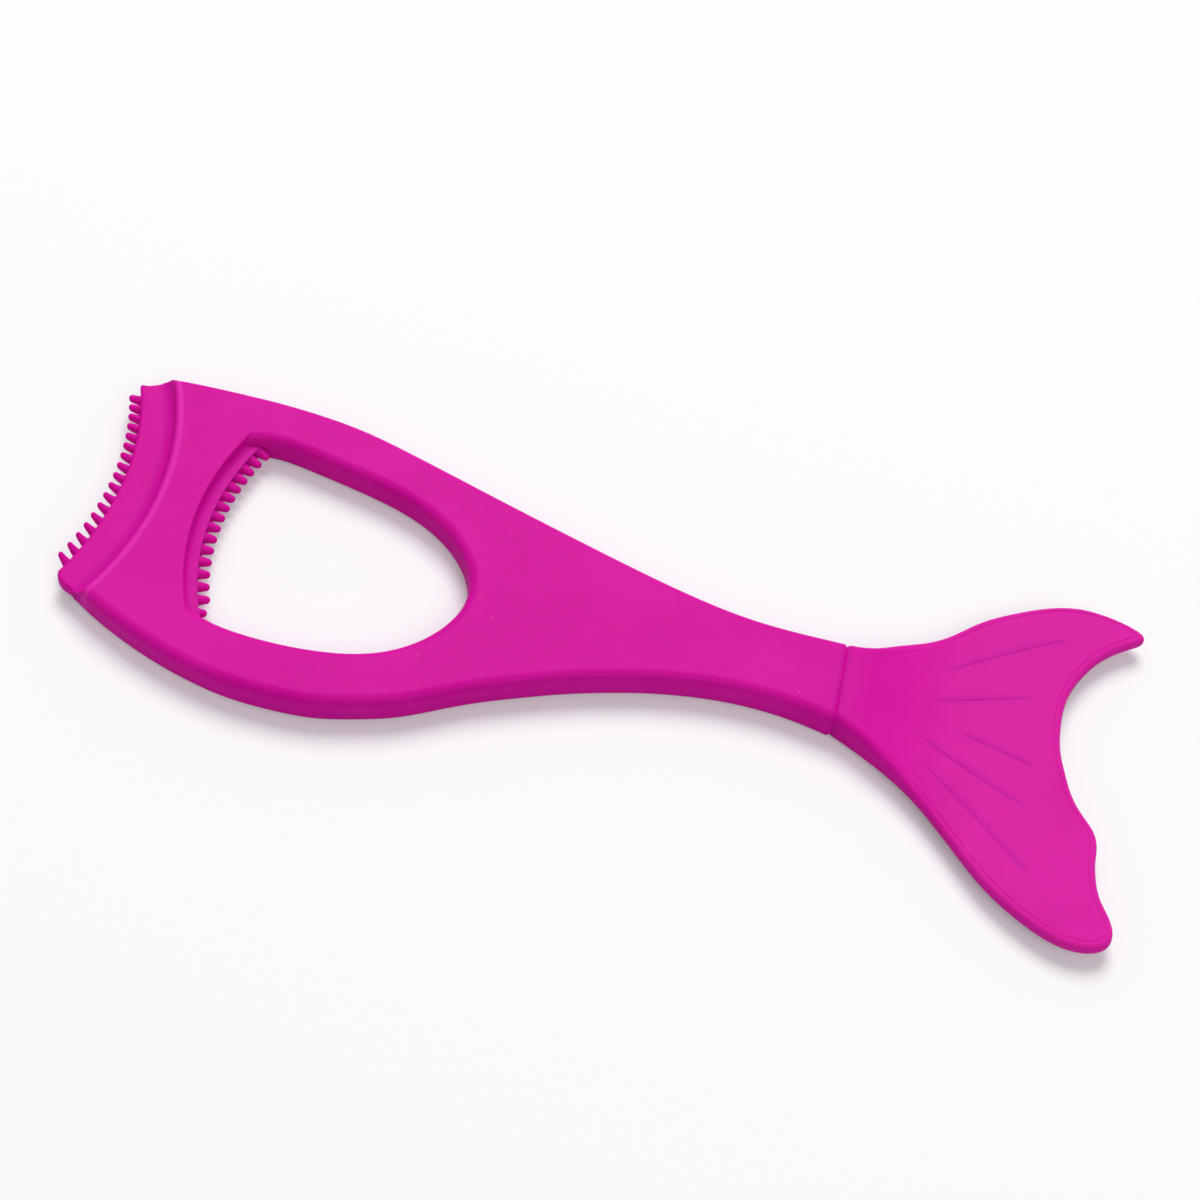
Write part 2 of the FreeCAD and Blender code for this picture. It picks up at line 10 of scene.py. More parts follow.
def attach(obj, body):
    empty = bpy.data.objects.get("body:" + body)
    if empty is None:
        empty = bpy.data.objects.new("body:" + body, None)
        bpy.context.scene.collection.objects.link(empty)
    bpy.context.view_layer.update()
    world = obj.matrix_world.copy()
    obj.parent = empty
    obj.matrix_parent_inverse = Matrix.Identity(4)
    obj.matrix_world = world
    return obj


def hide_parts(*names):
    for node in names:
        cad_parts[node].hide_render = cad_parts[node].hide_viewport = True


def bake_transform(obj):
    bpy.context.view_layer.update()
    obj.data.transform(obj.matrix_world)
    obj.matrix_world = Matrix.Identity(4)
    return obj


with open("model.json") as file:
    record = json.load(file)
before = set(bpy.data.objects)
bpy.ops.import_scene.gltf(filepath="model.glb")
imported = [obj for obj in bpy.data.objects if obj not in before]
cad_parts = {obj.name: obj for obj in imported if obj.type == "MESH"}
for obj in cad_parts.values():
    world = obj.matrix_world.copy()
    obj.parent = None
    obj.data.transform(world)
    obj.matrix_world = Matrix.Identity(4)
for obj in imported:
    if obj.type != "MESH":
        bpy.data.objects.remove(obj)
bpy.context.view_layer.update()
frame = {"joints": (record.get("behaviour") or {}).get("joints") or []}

# Plan lengths are in millimetres from the middle of the groove at the wrist: x towards the fin,
# y to the far side, z up from the table.
MM = 0.001
GROOVE = Vector(frame["joints"][0]["pos_m"])
THICK = 4.2
MIDDLE = THICK / 2
STEP_TOP = 2.9
ROUND = 1.3
WRIST_HALF = 5.65
GAP_HALF = 0.4

# Pieces are modelled in these lengths and brought to the frame's metres when they are done.
PLAN_TO_FRAME = Matrix.Translation((GROOVE.x, GROOVE.y, 0)) @ Matrix.Scale(MM, 4)


def at(x, y, z):
    """A place given in plan millimetres, in the frame's metres."""
    return PLAN_TO_FRAME @ Vector((x, y, z))


# Plan curves.

FINE_STEPS = 60


def smooth_way(points, start=None, end=None, closed=False, spacing=0.4):
    """Points evenly spaced along a smooth curve through the given ones. The curve starts and
    ends with the given headings, where there are any."""
    knots = np.array(points, float)
    if closed:
        knots = np.vstack([knots, knots[:1]])
    chord = np.linalg.norm(np.diff(knots, axis=0), axis=1)
    slope = np.diff(knots, axis=0) / chord[:, None]
    count = len(knots)
    system = np.zeros((count, count))
    sides = np.zeros((count, 2))
    for i in range(1, count - 1):
        system[i, i - 1] = 1 / chord[i - 1]
        system[i, i] = 2 / chord[i - 1] + 2 / chord[i]
        system[i, i + 1] = 1 / chord[i]
        sides[i] = 3 * (slope[i - 1] / chord[i - 1] + slope[i] / chord[i])
    system[0, 0] = system[-1, -1] = 1
    if closed:
        system[0, -1] = -1
        system[-1, -1] = 2 / chord[-1] + 2 / chord[0]
        system[-1, -2] = 1 / chord[-1]
        system[-1, 1] = 1 / chord[0]
        sides[-1] = 3 * (slope[-1] / chord[-1] + slope[0] / chord[0])
    else:
        first = slope[0] + (slope[0] - slope[1]) * chord[0] / (chord[0] + chord[1])
        last = slope[-1] + (slope[-1] - slope[-2]) * chord[-1] / (chord[-1] + chord[-2])
        sides[0] = start or first
        sides[-1] = end or last
    heading = np.linalg.solve(system, sides)
    fine = []
    for i in range(count - 1):
        t = np.linspace(0, 1, FINE_STEPS, endpoint=False)[:, None]
        fine.append(
            (2 * t**3 - 3 * t**2 + 1) * knots[i]
            + (t**3 - 2 * t**2 + t) * chord[i] * heading[i]
            + (3 * t**2 - 2 * t**3) * knots[i + 1]
            + (t**3 - t**2) * chord[i] * heading[i + 1]
        )
    fine = np.vstack(fine + [knots[-1:]])
    run = np.concatenate([[0], np.cumsum(np.linalg.norm(np.diff(fine, axis=0), axis=1))])
    steps = max(2, int(math.ceil(run[-1] / spacing)))
    where = np.linspace(0, run[-1], steps + 1)
    return np.column_stack([np.interp(where, run, fine[:, 0]), np.interp(where, run, fine[:, 1])])


def joined(*ways):
    """Ways that follow on from each other, as one line without repeated points."""
    line = [np.asarray(ways[0])]
    for way in ways[1:]:
        line.append(np.asarray(way)[1:])
    return np.vstack(line)


SHARPEST_LEAN = 0.5


def inward(line, closed=False):
    """For each point of a line that goes round anticlockwise, the way in from it, longer at a
    corner so that both sides move in alike."""
    if closed:
        before, after = np.roll(line, 1, axis=0), np.roll(line, -1, axis=0)
    else:
        before = np.vstack([2 * line[:1] - line[1:2], line[:-1]])
        after = np.vstack([line[1:], 2 * line[-1:] - line[-2:-1]])
    first, second = line - before, after - line
    first /= np.linalg.norm(first, axis=1)[:, None]
    second /= np.linalg.norm(second, axis=1)[:, None]
    along = first + second
    along /= np.linalg.norm(along, axis=1)[:, None]
    lean = np.clip(np.sum(along * first, axis=1), SHARPEST_LEAN, 1)
    return np.column_stack([-along[:, 1], along[:, 0]]) / lean[:, None]


def arc(centre, radius, start, end, spacing=0.3):
    """Points of a circle between two angles in degrees."""
    steps = max(2, int(math.ceil(abs(math.radians(end - start)) * radius / spacing)))
    turn = np.radians(np.linspace(start, end, steps + 1))
    return np.column_stack([centre[0] + radius * np.cos(turn), centre[1] + radius * np.sin(turn)])


def angle_at(centre, point):
    """The direction of a point from a centre, in degrees."""
    return math.degrees(math.atan2(point[1] - centre[1], point[0] - centre[0]))


def away_from(centre, way):
    """How far each point of a way lies from a centre."""
    return np.hypot(way[:, 0] - centre[0], way[:, 1] - centre[1])


def round_from(centre, radius, turn, height):
    """The point at a radius and a turn in radians from a centre, at a height."""
    return centre[0] + radius * math.cos(turn), centre[1] + radius * math.sin(turn), height


# The frame's sides, as shares of its length and half width from the groove towards the ledge.
FRAME_LENGTH, FRAME_FAR, FRAME_NEAR = 81.0, 21.25, 19.7
FAR_SIDE = [
    (0.130, 0.278), (0.266, 0.380), (0.403, 0.532), (0.542, 0.697),
    (0.683, 0.868), (0.754, 0.941), (0.827, 0.982), (0.890, 0.998), (0.940, 1.0),
]
NEAR_SIDE = [
    (0.095, 0.228), (0.152, 0.228), (0.209, 0.254), (0.265, 0.300), (0.321, 0.365),
    (0.376, 0.442), (0.430, 0.533), (0.483, 0.630), (0.533, 0.741), (0.584, 0.853),
    (0.637, 0.929), (0.692, 0.985), (0.751, 1.0),
]
NEAR_TURN = [(0.751, 1.0), (0.806, 0.990), (0.863, 0.947), (0.920, 0.876), (0.978, 0.778)]
FAR_CORNER = (-1.0475 * FRAME_LENGTH, 0.986 * FRAME_FAR)
NEAR_CORNER = (-1.0515 * FRAME_LENGTH, -0.611 * FRAME_NEAR)
# Each side runs on past its corner to these points; it is then cut off just before the corner.
PAST_FAR_CORNER, PAST_NEAR_CORNER, CORNER_CLEAR = (-90.72, 20.19), (-90.72, -7.58), 0.15
# The ledge behind the outer blade and the blade's front are round about these centres.
LEDGE_CENTRE, LEDGE_RADIUS = (-120.0, 4.2), 39.0
FRONT_CENTRE, FRONT_RADIUS = (-125.8, 4.9), 40.0


def on_front(aside):
    """The point of the outer blade's front at a distance to the far side of its middle."""
    return FRONT_CENTRE[0] + math.sqrt(FRONT_RADIUS**2 - aside**2), FRONT_CENTRE[1] + aside


BLADE_FAR, BLADE_NEAR = on_front(14.7), on_front(-14.35)


def far(shares):
    """Points of the frame's far side from their shares of its length and half width."""
    return [(-along * FRAME_LENGTH, out * FRAME_FAR) for along, out in shares]


def near(shares):
    """The same for the near side."""
    return [(-along * FRAME_LENGTH, -out * FRAME_NEAR) for along, out in shares]


def hollow(corner, end, shares):
    """The hollow edge from a corner of the frame to an end of the outer blade, through points
    given as shares of the way along and across."""
    way = [corner]
    for along, across in shares:
        way.append((
            corner[0] + (end[0] - corner[0]) * along, corner[1] + (end[1] - corner[1]) * across
        ))
    return smooth_way(way + [end], spacing=0.25)


far_side = joined(
    smooth_way([(-GAP_HALF, WRIST_HALF)] + far(FAR_SIDE), (-1, 0), (-1, 0)),
    smooth_way([far(FAR_SIDE)[-1], FAR_CORNER, PAST_FAR_CORNER], (-1, 0)),
)
far_side = far_side[far_side[:, 0] > FAR_CORNER[0] + CORNER_CLEAR]
near_side = joined(
    smooth_way([PAST_NEAR_CORNER, NEAR_CORNER] + near(NEAR_TURN[::-1]), None, (1, 0)),
    smooth_way(near(NEAR_SIDE[::-1]) + [(-GAP_HALF, -WRIST_HALF)], (1, 0)),
)
near_side = near_side[near_side[:, 0] > NEAR_CORNER[0] + CORNER_CLEAR]
far_hollow = hollow(FAR_CORNER, BLADE_FAR, [(0.34, 0.43), (0.66, 0.90)])
near_hollow = hollow(NEAR_CORNER, BLADE_NEAR, [(0.45, 0.25), (0.77, 0.48), (0.92, 0.70)])

# The opening, once round it from its far left, as shares of its length and half widths.
OPENING_LEFT, OPENING_LENGTH, OPENING_FAR, OPENING_NEAR = -76.0, 32.5, 14.9, 12.6
OPENING = [
    (-0.046, 0.725), (0.123, 0.980), (0.308, 0.953), (0.523, 0.852), (0.738, 0.698),
    (0.908, 0.430), (1.000, 0.000), (0.929, -0.492), (0.760, -0.841), (0.554, -0.976),
    (0.338, -0.992), (0.123, -0.880), (-0.049, -0.476), (-0.123, 0.161),
]
# Its toothed side is cut round, and the inner blade reaches into the opening from there.
TOOTHED_CENTRE, TOOTHED_RADIUS, INNER_REACH = (-43.0, 2.4), 33.0, 1.2
opening_way = smooth_way(
    [
        (OPENING_LEFT + a * OPENING_LENGTH, o * (OPENING_FAR if o > 0 else OPENING_NEAR))
        for a, o in OPENING
    ],
    closed=True,
    spacing=0.3,
)[:-1][::-1]

# Mesh makers.

MERGE = 1e-4
CLEAN_MERGE, CLEAN_SPLINTER = 0.002, 0.001


def shell_from_rings(rings):
    """A closed mesh whose rings of equal count are joined in order, its first and last ring
    filled. A ring is a list of points in plan millimetres."""
    count = len(rings[0])
    bm = bmesh.new()
    bmesh.ops.create_grid(bm, x_segments=count, y_segments=len(rings) - 1, size=1)
    spots = [p for ring in rings for p in list(ring) + [ring[0]]]
    bm.verts.ensure_lookup_table()
    for vert, spot in zip(bm.verts, spots):
        vert.co = spot
    bmesh.ops.remove_doubles(bm, verts=bm.verts, dist=MERGE)
    rim = [e for e in bm.edges if e.is_boundary]
    bmesh.ops.holes_fill(bm, edges=rim, sides=0)
    face_outwards(bm)
    return bm


def face_outwards(bm):
    """Turns every face of a closed mesh outwards."""
    bmesh.ops.recalc_face_normals(bm, faces=bm.faces)
    if bm.calc_volume(signed=True) < 0:
        bmesh.ops.reverse_faces(bm, faces=bm.faces)


def object_from(bm, name, smooth=True):
    """A new object of the scene that takes the mesh over."""
    mesh = bpy.data.meshes.new(name)
    bm.to_mesh(mesh)
    bm.free()
    if smooth:
        mesh.shade_smooth()
    piece = bpy.data.objects.new(name, mesh)
    bpy.context.scene.collection.objects.link(piece)
    return piece


def carve(piece, tool, operation):
    """Takes a tool from the piece, or keeps what both share, and removes the tool."""
    cut = piece.modifiers.new("cut", "BOOLEAN")
    cut.operation = operation
    cut.solver = "EXACT"
    cut.object = tool
    bpy.context.view_layer.update()
    whole = piece.evaluated_get(bpy.context.evaluated_depsgraph_get())
    mesh = bpy.data.meshes.new_from_object(whole)
    piece.modifiers.clear()
    piece.data = mesh
    bpy.data.objects.remove(tool)


def cut_across(bm, stations):
    """Cuts the mesh across the tool at each x, so that it has edges there."""
    for x in stations:
        bmesh.ops.bisect_plane(
            bm,
            geom=bm.verts[:] + bm.edges[:] + bm.faces[:],
            dist=MERGE,
            plane_co=(x, 0, 0),
            plane_no=(1, 0, 0),
        )


def add_to(whole, single):
    """Adds one mesh to another that gathers several, and is done with the first."""
    part = bpy.data.meshes.new("part")
    single.to_mesh(part)
    single.free()
    whole.from_mesh(part)
    bpy.data.meshes.remove(part)


def finish_small(piece, sharp=60):
    """Brings a piece of many small forms to its place and keeps its sharp edges."""
    piece.data.transform(PLAN_TO_FRAME)
    piece.data.set_sharp_from_angle(angle=math.radians(sharp))


def finish_mesh(piece, sharp=35):
    """Cleans and shades a moulded piece: soft over its roundings, crisp where it turns
    sharply."""
    bm = bmesh.new()
    bm.from_mesh(piece.data)
    bmesh.ops.remove_doubles(bm, verts=bm.verts, dist=CLEAN_MERGE)
    bmesh.ops.dissolve_degenerate(bm, edges=bm.edges, dist=CLEAN_SPLINTER)
    face_outwards(bm)
    bm.to_mesh(piece.data)
    bm.free()
    piece.data.transform(PLAN_TO_FRAME)
    piece.data.shade_smooth()
    piece.data.set_sharp_from_angle(angle=math.radians(sharp))
    weights = piece.modifiers.new("even_shading", "WEIGHTED_NORMAL")
    weights.keep_sharp = True
    weights.mode = "FACE_AREA"
    weights.weight = 100


def edge_rounding(radius, steps):
    """Offsets in and heights up of a quarter round, from the wall to the top."""
    turns = np.linspace(0, math.pi / 2, steps + 1)
    return [(radius * (1 - math.cos(t)), radius * (math.sin(t) - 1)) for t in turns]


MEETING = 0.96


def within_middle(line, way_in):
    """How far each point can go in and just not meet what comes in from the other side."""
    gaps = line[None, :, :] - line[:, None, :]
    ahead = np.einsum("ijk,ik->ij", gaps, way_in)
    apart = np.sum(gaps**2, axis=2)
    reach = np.where(ahead > 1e-6, apart / np.maximum(2 * ahead, 1e-9), 1e9)
    return MEETING * reach.min(axis=1)


def flat_ring(line, way_in, offset, height):
    """The line moved in by an offset, at one height."""
    moved = line + way_in * offset
    return [(x, y, height) for x, y in moved]


def progress(value, start, end):
    """How far a value is on its way from a start to an end, from 0 to 1."""
    return min(max((value - start) / (end - start), 0), 1)


# The handle.

# The groove's walls meet the outside in a small soft edge, with mesh edges at these shares of
# it. Over the length after it, the ways in turn from straight across to the outline's own.
EDGE_SOFT = 0.05
WALL_STEPS = (0.03, 0.13, 0.32, 0.6, 1.0)
WALL_STRAIGHT = 3
FACE_STEPS, SOFT_STEPS = 9, 4


def wrist_drop(x):
    """How far the faces draw in just beside the groove, at a distance x from its wall."""
    if x >= EDGE_SOFT:
        return 0.0
    reach = EDGE_SOFT - max(x, 0)
    return EDGE_SOFT - math.sqrt(EDGE_SOFT**2 - reach**2)


def near_groove(line):
    """The line with the sides drawn in beside the groove, for a soft edge there."""
    eased = line.copy()
    for point in eased:
        drop = wrist_drop(abs(point[0]) - GAP_HALF)
        point[1] -= math.copysign(drop, point[1])
    return eased


def with_groove_stations(line, at_start):
    """Extra points close to the groove's wall, so that its edge can be rounded."""
    wall, following = (line[0], line[1]) if at_start else (line[-1], line[-2])
    reach = abs(following[0] - wall[0])
    extra = [wall + (following - wall) * EDGE_SOFT * s / reach for s in WALL_STEPS]
    if at_start:
        return np.vstack([line[:1], extra, line[1:]])
    return np.vstack([line[:-1], extra[::-1], line[-1:]])


def square_at_wall(line, way_in):
    """Turns the ways in across the tool as the line nears the groove's wall."""
    for index, point in enumerate(line):
        share = min(max((abs(point[0]) - GAP_HALF - EDGE_SOFT) / WALL_STRAIGHT, 0), 1)
        straight = np.array([0, -math.copysign(1, point[1])])
        way_in[index] = way_in[index] * share + straight * (1 - share)


far_line = with_groove_stations(far_side, True)
near_line = with_groove_stations(near_side, False)
handle_line = near_groove(
    np.vstack([far_line, far_hollow, near_hollow[::-1], near_line])
)
handle_in = inward(handle_line)
far_turn, near_turn = len(far_line), len(far_line) + len(far_hollow)
handle_in[far_turn:near_turn] = inward(far_line)[-1]
handle_in[near_turn:near_turn + len(near_hollow)] = inward(near_line)[0]
square_at_wall(handle_line, handle_in)
# What the ledge's cut takes away is left square; the rounding comes in over a short stretch.
SQUARE_RADIUS, SQUARE_FADE, SQUARE_SHARE = 35.5, 1.7, 0.02
for index, point in enumerate(handle_line):
    from_ledge = math.dist(point, LEDGE_CENTRE)
    handle_in[index] *= min(max((from_ledge - SQUARE_RADIUS) / SQUARE_FADE, SQUARE_SHARE), 1)

rings = []
for offset, rise in edge_rounding(ROUND, FACE_STEPS)[::-1]:
    rings.append(flat_ring(handle_line, handle_in, offset, -rise))
for offset, rise in edge_rounding(ROUND, FACE_STEPS):
    rings.append(flat_ring(handle_line, handle_in, offset, THICK + rise))
bm = shell_from_rings(rings)
cut_across(bm, [-GAP_HALF - EDGE_SOFT * s for s in WALL_STEPS])
# Beside the groove the upper and lower faces draw in, and the middle of the wall stays.
WALL_CORE, CORE_FADE = 0.8, 0.5
for vert in bm.verts:
    drop = wrist_drop(-vert.co.x - GAP_HALF)
    height = vert.co.z - MIDDLE
    if drop and abs(height) > WALL_CORE:
        fading = min(1, (abs(height) - WALL_CORE) / CORE_FADE)
        vert.co.z -= math.copysign(drop, height) * fading
handle = object_from(bm, "oval_handle")

# The ledge is cut round its own centre: a cove rises from the blade to a soft crest. The tool
# starts well before the blade's front, ends past the frame's sides and stands past its faces.
COVE, COVE_END = ROUND, math.radians(22)
CREST_SOFT = COVE * math.sin(COVE_END) / (1 - math.sin(COVE_END))
CREST_SHIFT, CREST_END, COVE_STEPS = 0.12, math.radians(93), 12
CUT_START, CUT_NEAR, CUT_FAR, CUT_STEPS, CUT_PAST = 20.0, -34, 40, 300, 1.0
CUT_LIP, CUT_RISE = 0.15, 0.02
cove_foot = LEDGE_RADIUS - COVE - CREST_SHIFT
profile = [(cove_foot, STEP_TOP)]
for turn in np.linspace(math.radians(-90), -COVE_END, COVE_STEPS)[1:]:
    profile.append((cove_foot + COVE * math.cos(turn), THICK + COVE * math.sin(turn)))
top_of_cove = profile[-1]
# The crest is a small round from the cove's steep end over to the flat top.
crest_centre = (top_of_cove[0] + CREST_SOFT * math.cos(COVE_END), THICK - CREST_SOFT)
for turn in np.linspace(math.pi - COVE_END, CREST_END, COVE_STEPS)[1:]:
    profile.append((
        crest_centre[0] + CREST_SOFT * math.cos(turn),
        crest_centre[1] + CREST_SOFT * math.sin(turn),
    ))
lip = profile[-1][0] + CUT_LIP
upper_run = profile + [(lip, THICK + CUT_RISE), (lip, THICK + CUT_PAST)]
lower_run = [(radius, THICK - height) for radius, height in upper_run][::-1]
section = [(CUT_START, THICK + CUT_PAST), (CUT_START, -CUT_PAST)] + lower_run + upper_run
rings = []
for turn in np.radians(np.linspace(CUT_NEAR, CUT_FAR, CUT_STEPS)):
    rings.append([round_from(LEDGE_CENTRE, radius, turn, height) for radius, height in section])
ledge_tool = object_from(shell_from_rings(rings), "ledge_tool")
carve(handle, ledge_tool, "DIFFERENCE")

# The opening's tool: a plug flared above and below, held to the round toothed side. It is a
# hair wider than the rounding where it leaves a face, so that the cut meets the face cleanly.
PLUG_WIDER, PLUG_HAIR = 1.03, 0.003
opening_in = inward(opening_way, closed=True)
plug_plan = [(ROUND * PLUG_WIDER, -CUT_PAST), (ROUND * PLUG_WIDER, -PLUG_HAIR)]
plug_plan += [(offset, -rise) for offset, rise in edge_rounding(ROUND, FACE_STEPS)[::-1][1:]]
plug_plan += [(offset, THICK - height) for offset, height in plug_plan[::-1]]
rings = [flat_ring(opening_way, -opening_in, offset, height) for offset, height in plug_plan]
plug = object_from(shell_from_rings(rings), "opening_plug")

# The toothed side has a soft edge above, and a cove where its wall runs out into the blade.
STEP_SOFT, STEP_COVE, STEP_COVE_STEPS = 0.18, 0.75, 9
RIM_WIDER, RIM_HAIR, RIM_PAST, RIM_STEPS = 1.1, 0.002, 1.5, 720
rim_plan = [(STEP_SOFT * RIM_WIDER, -RIM_PAST), (STEP_SOFT * RIM_WIDER, -RIM_HAIR)]
rim_plan += [(offset, -rise) for offset, rise in edge_rounding(STEP_SOFT, SOFT_STEPS)[::-1][1:]]
for turn in np.radians(np.linspace(0, 90, STEP_COVE_STEPS)):
    rim_plan.append((
        -STEP_COVE * (1 - math.cos(turn)), THICK - STEP_TOP - STEP_COVE * (1 - math.sin(turn))
    ))
rim_plan += [(offset, THICK - height) for offset, height in rim_plan[::-1]]
rim_turns = np.radians(np.linspace(0, 360, RIM_STEPS, endpoint=False))
rings = [
    [round_from(TOOTHED_CENTRE, TOOTHED_RADIUS + offset, turn, height) for turn in rim_turns]
    for offset, height in rim_plan
]
toothed_side = object_from(shell_from_rings(rings), "toothed_side")
carve(plug, toothed_side, "INTERSECT")
carve(handle, plug, "DIFFERENCE")
finish_mesh(handle)

# The blades.

# How soft the blades' edges are, and which share of that the far hollow edge and the hidden
# root have.
OUTER_SOFT, INNER_SOFT = 0.42, 0.3
FAR_HOLLOW_SHARE, ROOT_SHARE = 0.35, 0.05
# How far the blades run on inside the frame: the inner one's ends in degrees, all else in
# millimetres.
OUTER_SUNK, ROOT_CLEAR = 0.5, 0.25
INNER_SUNK, INNER_ENDS = 0.4, 3.0
# How near to the inner blade's edge a point of the opening counts as on it.
ON_RIM = 0.25


def blade(name, line, soft, share=1.0):
    """A thin plate with softened edges, from its outline and each point's share of the
    softness."""
    way_in = inward(line, closed=True) * np.reshape(share, (-1, 1))
    plan = [(offset, STEP_TOP + rise) for offset, rise in edge_rounding(soft, SOFT_STEPS)]
    plan = [(offset, THICK - height) for offset, height in plan[::-1]] + plan
    most = within_middle(line, way_in)
    rings = [
        flat_ring(line, way_in, np.minimum(offset, most)[:, None], height)
        for offset, height in plan
    ]
    piece = object_from(shell_from_rings(rings), name)
    finish_mesh(piece)
    return piece


front = arc(
    FRONT_CENTRE,
    FRONT_RADIUS,
    angle_at(FRONT_CENTRE, BLADE_FAR),
    angle_at(FRONT_CENTRE, BLADE_NEAR),
)
root_radius = LEDGE_RADIUS - COVE + OUTER_SUNK


def inside_root(way):
    """The part of a hollow edge that the outer blade has, up to where it enters the frame."""
    return way[away_from(LEDGE_CENTRE, way) < root_radius - ROOT_CLEAR]


far_edge = inside_root(far_hollow)
near_edge = inside_root(near_hollow)
root = arc(
    LEDGE_CENTRE,
    root_radius,
    angle_at(LEDGE_CENTRE, near_edge[0]),
    angle_at(LEDGE_CENTRE, far_edge[0]),
)
outer_line = np.vstack([far_edge[:-1], front[1:], near_edge[::-1][1:], root])
softness = np.ones(len(outer_line))
softness[:len(far_edge) - 1] = FAR_HOLLOW_SHARE
softness[-len(root):] = ROOT_SHARE
outer_blade = blade("outer_comb_web", outer_line, OUTER_SOFT, softness)

# The inner blade follows the toothed side from one corner of the opening to the other, and
# runs on a little inside the frame.
inner_rim = TOOTHED_RADIUS - INNER_REACH
from_rim = np.abs(away_from(TOOTHED_CENTRE, opening_way) - inner_rim)
on_rim = [angle_at(TOOTHED_CENTRE, point) % 360 for point in opening_way[from_rim < ON_RIM]]
rim_start, rim_end = min(on_rim) - INNER_ENDS, max(on_rim) + INNER_ENDS
inner_line = np.vstack([
    arc(TOOTHED_CENTRE, inner_rim, rim_end, rim_start),
    arc(TOOTHED_CENTRE, TOOTHED_RADIUS + INNER_SUNK, rim_start, rim_end),
])
inner_blade = blade("inner_comb_web", inner_line[::-1], INNER_SOFT)

# The teeth.

# The teeth point towards the middle of their blade's round edge, so their pitch is set this
# far inside it, near their tips.
TEETH, TOOTH_PITCH, PITCH_INSIDE = 17, 1.57, 1.35
# How far a tooth and its flared foot are sunk in the blade, and the foot's length for its
# width; then where a tooth's profile has points.
TOOTH_SUNK, FLARE_SUNK, FLARE_LENGTH = 0.55, 0.08, 1.4
FLARE_TURNS, TAPER_SHARES, TIP_TURNS = (18, 36, 54, 72, 90), (0.4, 0.75, 1.0), (22, 44, 64, 80)
TOOTH_SIDES = 18


def tooth_mesh(form):
    """One tooth along +X from its root, with a flared foot and a round tip."""
    length, flare = form["length"], form["flare"]
    root_radius, tip_radius = form["root_radius"], form["tip_radius"]
    profile = [(-TOOTH_SUNK, root_radius + flare), (-FLARE_SUNK, root_radius + flare)]
    for turn in np.radians(FLARE_TURNS):
        profile.append((
            flare * FLARE_LENGTH * (1 - math.cos(turn)) - FLARE_SUNK,
            root_radius + flare * (1 - math.sin(turn)),
        ))
    ball, foot = length - tip_radius, profile[-1][0]
    for share in TAPER_SHARES:
        profile.append((
            foot + (ball - foot) * share, root_radius + (tip_radius - root_radius) * share
        ))
    for turn in np.radians(TIP_TURNS):
        profile.append((ball + tip_radius * math.sin(turn), tip_radius * math.cos(turn)))
    bm = bmesh.new()
    verts = [bm.verts.new((x, 0, r)) for x, r in profile]
    verts = [bm.verts.new((profile[0][0], 0, 0))] + verts
    verts.append(bm.verts.new((length, 0, 0)))
    edges = [bm.edges.new(pair) for pair in zip(verts, verts[1:])]
    bmesh.ops.spin(
        bm,
        geom=verts + edges,
        axis=(1, 0, 0),
        cent=(0, 0, 0),
        angle=2 * math.pi,
        steps=TOOTH_SIDES,
        use_merge=True,
    )
    bmesh.ops.remove_doubles(bm, verts=bm.verts, dist=MERGE)
    for vert in bm.verts:
        vert.co.z *= 1 + (form["flatness"] - 1) * progress(vert.co.x, 0, length)
        vert.co.z += form["curl"] * (max(vert.co.x, 0) / length) ** 2
    face_outwards(bm)
    return bm


def tooth_row(name, centre, rim, facing, crowding, stretch, tooth):
    """A row of teeth along a blade's round edge from its near end to its far end. Crowding moves
    the middle teeth towards the far end, and stretch moves the last ones on. Tooth gives a
    tooth's form from its share of the way."""
    row = bmesh.new()
    half_span = (TEETH - 1) / 2 * (TOOTH_PITCH / (rim - PITCH_INSIDE))
    for index in range(TEETH):
        share = index / (TEETH - 1)
        along = 2 * share - 1
        turn = half_span * (along + crowding * (1 - along**2) + stretch * max(along, 0) ** 3)
        turn = turn if facing == 0 else facing - turn
        form = tooth(share)
        single = tooth_mesh(form)
        place = (
            Matrix.Translation(round_from(centre, rim, turn, MIDDLE))
            @ Matrix.Rotation(turn + math.pi - form["lean"], 4, "Z")
            @ Matrix.Rotation(-math.radians(form["slant"]), 4, "Y")
        )
        bmesh.ops.transform(single, matrix=place, verts=single.verts)
        add_to(row, single)
    piece = object_from(row, name)
    finish_small(piece)
    return piece


def outer_tooth(share):
    """Claws that curl up at the near end, blunt fingers at the far end."""
    near_share = 1 - share
    return {
        "length": 1.46 + 0.13 * near_share**2,
        "root_radius": 0.56,
        "tip_radius": 0.48 - 0.14 * near_share,
        "flare": 0.2,
        "flatness": 1.0,
        "curl": 0.2 + 0.32 * near_share,
        "slant": 17,
        "lean": math.radians(12) * near_share**2,
    }


def inner_tooth(share):
    """Blunt fingers; the first is short, half lost in the corner of the opening."""
    first = max(1 - (TEETH - 1) * share, 0)
    return {
        "length": 1.7 - 0.5 * first,
        "root_radius": 0.74,
        "tip_radius": 0.48,
        "flare": 0.01,
        "flatness": 0.95,
        "curl": 0.0,
        "slant": -5,
        "lean": 0.0,
    }


outer_teeth = tooth_row(
    "outer_comb_tines",
    FRONT_CENTRE,
    FRONT_RADIUS,
    facing=0,
    crowding=0.045,
    stretch=0.0,
    tooth=outer_tooth,
)
inner_teeth = tooth_row(
    "inner_comb_tines",
    TOOTHED_CENTRE,
    inner_rim,
    facing=math.pi,
    crowding=0.085,
    stretch=0.05,
    tooth=inner_tooth,
)

# The fin.

FIN_REACH, FIN_FAR, FIN_NEAR = 34.3, 19.75, 26.2
FIN_HALF, THINNING = 0.8, 13.0
